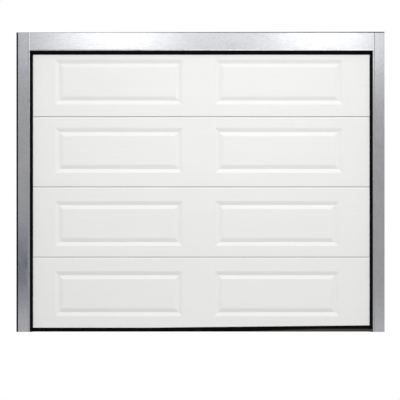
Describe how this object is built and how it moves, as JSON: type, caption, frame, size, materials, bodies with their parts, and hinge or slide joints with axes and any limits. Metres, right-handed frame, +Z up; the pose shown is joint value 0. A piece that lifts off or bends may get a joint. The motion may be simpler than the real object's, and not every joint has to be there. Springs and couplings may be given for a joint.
{
  "type": "sectional garage door",
  "caption": "White sectional garage door with raised cassette panels in a galvanised frame, with tracks, rollers, torsion springs and lift cables behind.",
  "frame": {"origin": "on the front face of the left jamb's flat, at floor level and at the middle of its width", "axes": "+X to the right as seen from outside, +Y into the garage, +Z up"},
  "size_m": [2.623, 2.625, 2.3],
  "materials": {
    "leaf_paint": "white embossed paint",
    "galvanised": "galvanised",
    "zinc_plated": "zinc plated",
    "spring_steel": "oiled",
    "black_rubber": "matt",
    "white_nylon": "satin",
    "mill_aluminium": "mill finish",
    "wire_rope": "bright stranded"
  },
  "bodies": {
    "root": {"jamb_left": "galvanised", "jamb_right": "galvanised", "header": "galvanised", "header_brackets": "galvanised", "frame_gasket_side": "black_rubber", "frame_gasket_top": "black_rubber", "side_seal_left": "black_rubber", "side_seal_right": "black_rubber", "top_seal": "black_rubber", "bottom_seal": "black_rubber", "bottom_rail": "mill_aluminium", "section_bottom": "leaf_paint", "section_lower": "leaf_paint", "section_upper": "leaf_paint", "section_top": "leaf_paint", "end_caps_left": "leaf_paint", "end_caps_right": "leaf_paint", "centre_hinges": "zinc_plated", "side_hinges_left": "zinc_plated", "side_hinges_right": "zinc_plated", "bottom_brackets": "zinc_plated", "top_brackets": "zinc_plated", "rollers": "white_nylon", "roller_stems": "zinc_plated", "vertical_track_left": "galvanised", "vertical_track_right": "galvanised", "curved_track_left": "galvanised", "curved_track_right": "galvanised", "lower_track_left": "galvanised", "lower_track_right": "galvanised", "upper_track_left": "galvanised", "upper_track_right": "galvanised", "track_brackets_left": "galvanised", "track_brackets_right": "galvanised", "pulley_brackets": "zinc_plated", "pulleys": "zinc_plated", "lift_cables": "wire_rope", "cable_drums": "mill_aluminium", "bearing_plates": "galvanised", "torsion_shaft": "zinc_plated", "torsion_springs": "spring_steel", "spring_cones": "mill_aluminium", "rear_crossbar": "galvanised", "rear_hangers": "galvanised"}
  },
  "joints": []
}
